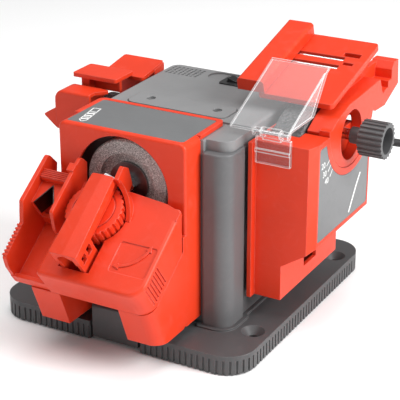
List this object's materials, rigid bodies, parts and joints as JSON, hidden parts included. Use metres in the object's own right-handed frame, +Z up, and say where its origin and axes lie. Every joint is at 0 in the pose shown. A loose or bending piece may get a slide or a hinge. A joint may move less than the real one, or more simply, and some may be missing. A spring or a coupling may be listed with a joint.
{
  "type": "drill bit sharpener",
  "caption": "Bench sharpener with a drill bit module in front, a tilting chisel table with clear shield on the right and a knife module on the left, driven by one motor.",
  "frame": {"origin": "on the floor midway between the base's four mounting holes", "axes": "+X to the right seen from the drill module, +Y to the back, +Z up"},
  "size_m": [0.3746, 0.3445, 0.1968],
  "materials": {
    "base_plate": "moulded, fine texture",
    "rubber_feet": "matt",
    "base_screws": "zinc plated",
    "module_latch": "moulded",
    "main_housing": "moulded, fine texture",
    "top_cover": "moulded, fine texture",
    "top_cover_screws": "blackened",
    "switch_body": "moulded",
    "switch_rocker": "polished",
    "main_shaft": "ground",
    "main_bearings": "ground",
    "drill_shaft_bearings": "ground",
    "stator_core": "laminated",
    "field_windings": "enamelled wire",
    "armature": "laminated",
    "commutator": "turned",
    "carbon_brushes": "carbon",
    "cooling_fan": "moulded",
    "bevel_gear": "cut",
    "bevel_pinion": "cut",
    "drill_shaft": "ground",
    "drill_wheel": "bonded grit",
    "wheel_flange": "turned",
    "wheel_nut": "zinc plated",
    "chisel_stone": "vitrified grit",
    "chisel_stone_nut": "zinc plated",
    "knife_stone": "vitrified grit",
    "knife_stone_nut": "zinc plated",
    "drill_housing": "satin moulded",
    "drill_label_plate": "printed plate",
    "drill_apron": "satin moulded",
    "swing_pivot_pin": "turned",
    "clamp_bridge": "satin moulded",
    "guide_liner": "bent sheet",
    "clamp_knob": "satin moulded",
    "clamp_screw": "threaded",
    "clamp_jaw": "ground",
    "gauge_slide": "satin moulded",
    "chisel_housing": "satin moulded",
    "chisel_label_plate": "printed plate",
    "table_arm": "satin moulded",
    "chisel_table": "satin moulded",
    "guide_rods": "polished",
    "fence": "satin moulded",
    "lock_stud": "threaded",
    "lock_knob": "ribbed",
    "shield_bracket": "clear plastic",
    "shield": "clear plastic",
    "shield_pin": "drawn",
    "knife_housing": "satin moulded",
    "knife_guide": "satin moulded",
    "scissor_guide_front": "satin moulded",
    "scissor_guide_rear": "satin moulded",
    "strain_relief": "matt",
    "power_cord": "matt",
    "cord_coil": "matt",
    "cord_tie": "nylon",
    "plug": "moulded",
    "plug_pins": "nickel plated"
  },
  "bodies": {
    "frame": {"base_plate": "base_plate", "rubber_feet": "rubber_feet", "base_screws": "base_screws", "main_housing": "main_housing", "top_cover": "top_cover", "top_cover_screws": "top_cover_screws", "switch_body": "switch_body", "main_bearings": "main_bearings", "drill_shaft_bearings": "drill_shaft_bearings", "stator_core": "stator_core", "field_windings": "field_windings", "carbon_brushes": "carbon_brushes", "drill_housing": "drill_housing", "drill_label_plate": "drill_label_plate", "swing_pivot_pin": "swing_pivot_pin", "chisel_housing": "chisel_housing", "chisel_label_plate": "chisel_label_plate", "lock_stud": "lock_stud", "shield_bracket": "shield_bracket", "shield_pin": "shield_pin", "knife_housing": "knife_housing", "knife_guide": "knife_guide", "scissor_guide_front": "scissor_guide_front", "scissor_guide_rear": "scissor_guide_rear", "strain_relief": "strain_relief", "power_cord": "power_cord", "cord_coil": "cord_coil", "cord_tie": "cord_tie", "plug": "plug", "plug_pins": "plug_pins"},
    "main_rotor": {"main_shaft": "main_shaft", "armature": "armature", "commutator": "commutator", "cooling_fan": "cooling_fan", "bevel_gear": "bevel_gear", "chisel_stone": "chisel_stone", "chisel_stone_nut": "chisel_stone_nut", "knife_stone": "knife_stone", "knife_stone_nut": "knife_stone_nut"},
    "drill_spindle": {"drill_shaft": "drill_shaft", "bevel_pinion": "bevel_pinion", "drill_wheel": "drill_wheel", "wheel_flange": "wheel_flange", "wheel_nut": "wheel_nut"},
    "apron": {"drill_apron": "drill_apron", "clamp_bridge": "clamp_bridge", "guide_liner": "guide_liner"},
    "knob": {"clamp_knob": "clamp_knob", "clamp_screw": "clamp_screw"},
    "jaw": {"clamp_jaw": "clamp_jaw"},
    "gauge": {"gauge_slide": "gauge_slide"},
    "table": {"table_arm": "table_arm", "chisel_table": "chisel_table", "guide_rods": "guide_rods"},
    "sliding_fence": {"fence": "fence"},
    "lock": {"lock_knob": "lock_knob"},
    "guard": {"shield": "shield"},
    "rocker": {"switch_rocker": "switch_rocker"},
    "latch": {"module_latch": "module_latch"}
  },
  "joints": [
    {"name": "main_spin", "type": "hinge", "parent": "frame", "child": "main_rotor", "pos_m": [0, 0.0025, 0.116], "axis": [1, 0, 0], "continuous": true},
    {"name": "drill_spin", "type": "hinge", "parent": "frame", "child": "drill_spindle", "pos_m": [0, 0.0025, 0.116], "axis": [0, 1, 0], "continuous": true},
    {"name": "apron_swing", "type": "hinge", "parent": "frame", "child": "apron", "pos_m": [0.038, -0.11312, 0.07207], "axis": [0, -0.5934, 0.8049], "range_deg": [-2, 8]},
    {"name": "clamp_turn", "type": "hinge", "parent": "apron", "child": "knob", "pos_m": [-0.007, -0.11688, 0.1016], "axis": [0, -0.5934, 0.8049], "range_deg": [0, 720]},
    {"name": "jaw_lift", "type": "slide", "parent": "apron", "child": "jaw", "axis": [0, -0.5934, 0.8049], "range_m": [0, 0.004]},
    {"name": "gauge_move", "type": "slide", "parent": "apron", "child": "gauge", "axis": [0, 0.8049, 0.5934], "range_m": [-0.008, 0.002]},
    {"name": "table_tilt", "type": "hinge", "parent": "frame", "child": "table", "pos_m": [0, 0.018, 0.154], "axis": [1, 0, 0], "range_deg": [-8, 8]},
    {"name": "fence_move", "type": "slide", "parent": "table", "child": "sliding_fence", "axis": [1, 0, 0], "range_m": [0, 0.033]},
    {"name": "lock_turn", "type": "hinge", "parent": "frame", "child": "lock", "pos_m": [0, 0.017, 0.138], "axis": [1, 0, 0], "range_deg": [0, 360]},
    {"name": "shield_flip", "type": "hinge", "parent": "frame", "child": "guard", "pos_m": [0, -0.0525, 0.1565], "axis": [1, 0, 0], "range_deg": [0, 100]},
    {"name": "switch_rock", "type": "hinge", "parent": "frame", "child": "rocker", "pos_m": [0.018, 0.036, 0.152], "axis": [0, 1, 0], "range_deg": [-16, 0]},
    {"name": "latch_press", "type": "hinge", "parent": "frame", "child": "latch", "pos_m": [0, -0.1063, 0.011], "axis": [1, 0, 0], "range_deg": [0, 6], "stiffness_Nm_per_rad": 0.5}
  ],
  "couplings": [
    {"joint": "drill_spin", "follows": "main_spin", "ratio": 1},
    {"joint": "jaw_lift", "follows": "clamp_turn", "m_per_rad": 0.00031831}
  ]
}
